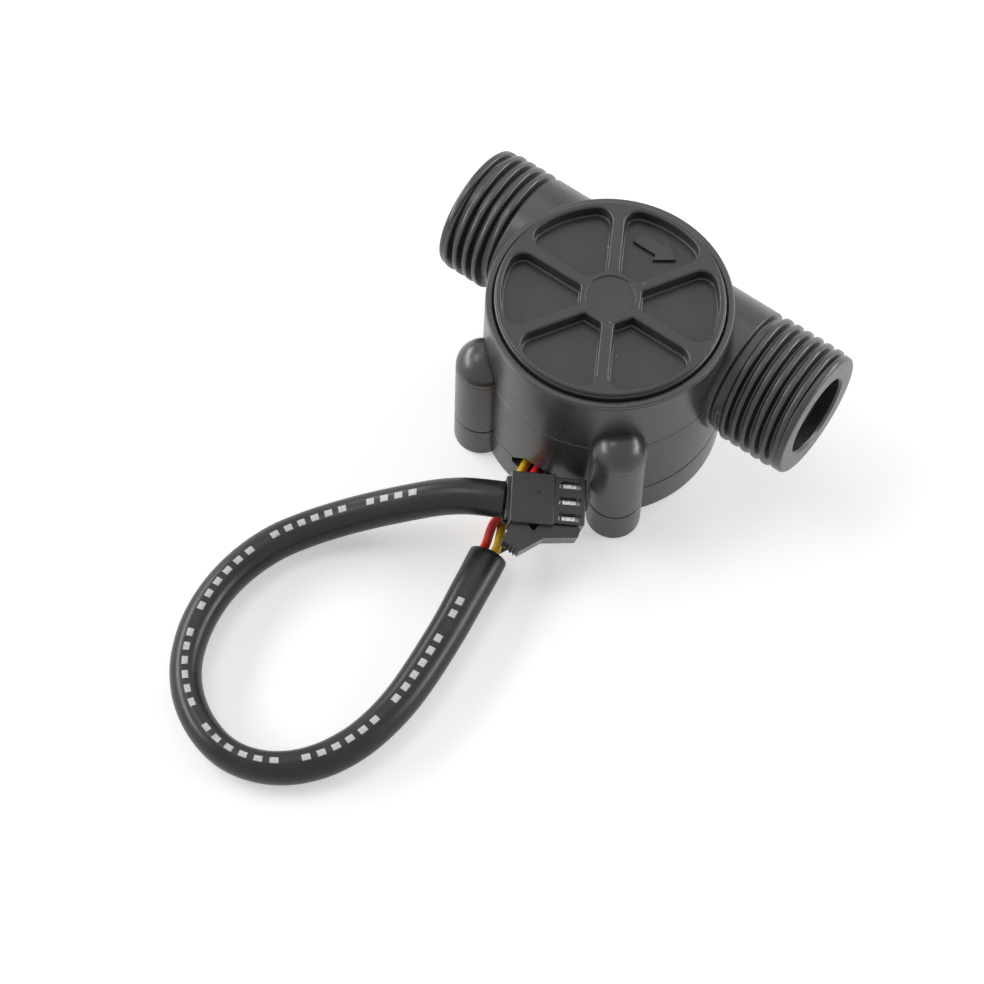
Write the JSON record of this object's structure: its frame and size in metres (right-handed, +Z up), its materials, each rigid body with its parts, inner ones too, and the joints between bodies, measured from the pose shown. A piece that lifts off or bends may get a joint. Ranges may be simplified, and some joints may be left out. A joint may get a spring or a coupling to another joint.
{
  "type": "water flow sensor",
  "caption": "Inline turbine flow sensor: offset threaded pipe through a round rotor chamber with a ribbed lid, and a sleeved lead with a latch connector.",
  "frame": {"origin": "on the rotor's axis at the base plane, where the bottom cover rests", "axes": "+X along the flow, from the inlet thread to the outlet thread; +Z up along the rotor's axis, from bottom cover to lid; the pipe's axis runs at +Y of the rotor's axis and the lead leaves towards -Y"},
  "size_m": [0.0635, 0.1037, 0.0326],
  "materials": {
    "charcoal_plastic": "satin moulded, fine speckle",
    "wheel_plastic": "smooth moulded",
    "ferrite": "pressed and ground",
    "steel": "turned",
    "bush_plastic": "smooth",
    "board_green": "solder mask",
    "chip_black": "moulded epoxy",
    "tinned_metal": "tinned",
    "ceramic_tan": "fired",
    "sleeve_vinyl": "extruded, slightly glossy",
    "plug_nylon": "moulded",
    "wire_red": "extruded",
    "wire_yellow": "extruded",
    "wire_black": "extruded"
  },
  "bodies": {
    "housing": {"body": "charcoal_plastic", "top_lid": "charcoal_plastic", "bottom_cover": "charcoal_plastic", "cover_screw_left": "steel", "cover_screw_right": "steel", "rotor_shaft": "steel", "circuit_board": "board_green", "hall_sensor": "chip_black", "resistor": "chip_black", "capacitor": "ceramic_tan", "wire_red": "wire_red", "wire_yellow": "wire_yellow", "wire_black": "wire_black", "cable_sleeve": "sleeve_vinyl", "wire_red_tail": "wire_red", "wire_yellow_tail": "wire_yellow", "wire_black_tail": "wire_black", "connector_housing": "plug_nylon", "contact_red": "tinned_metal", "contact_yellow": "tinned_metal", "contact_black": "tinned_metal"},
    "wheel": {"rotor": "wheel_plastic", "rotor_magnet": "ferrite", "lower_bush": "bush_plastic", "upper_bush": "bush_plastic"}
  },
  "joints": [
    {"name": "rotor_spin", "type": "hinge", "parent": "housing", "child": "wheel", "pos_m": [0, 0, 0.0195], "axis": [0, 0, 1], "continuous": true}
  ]
}
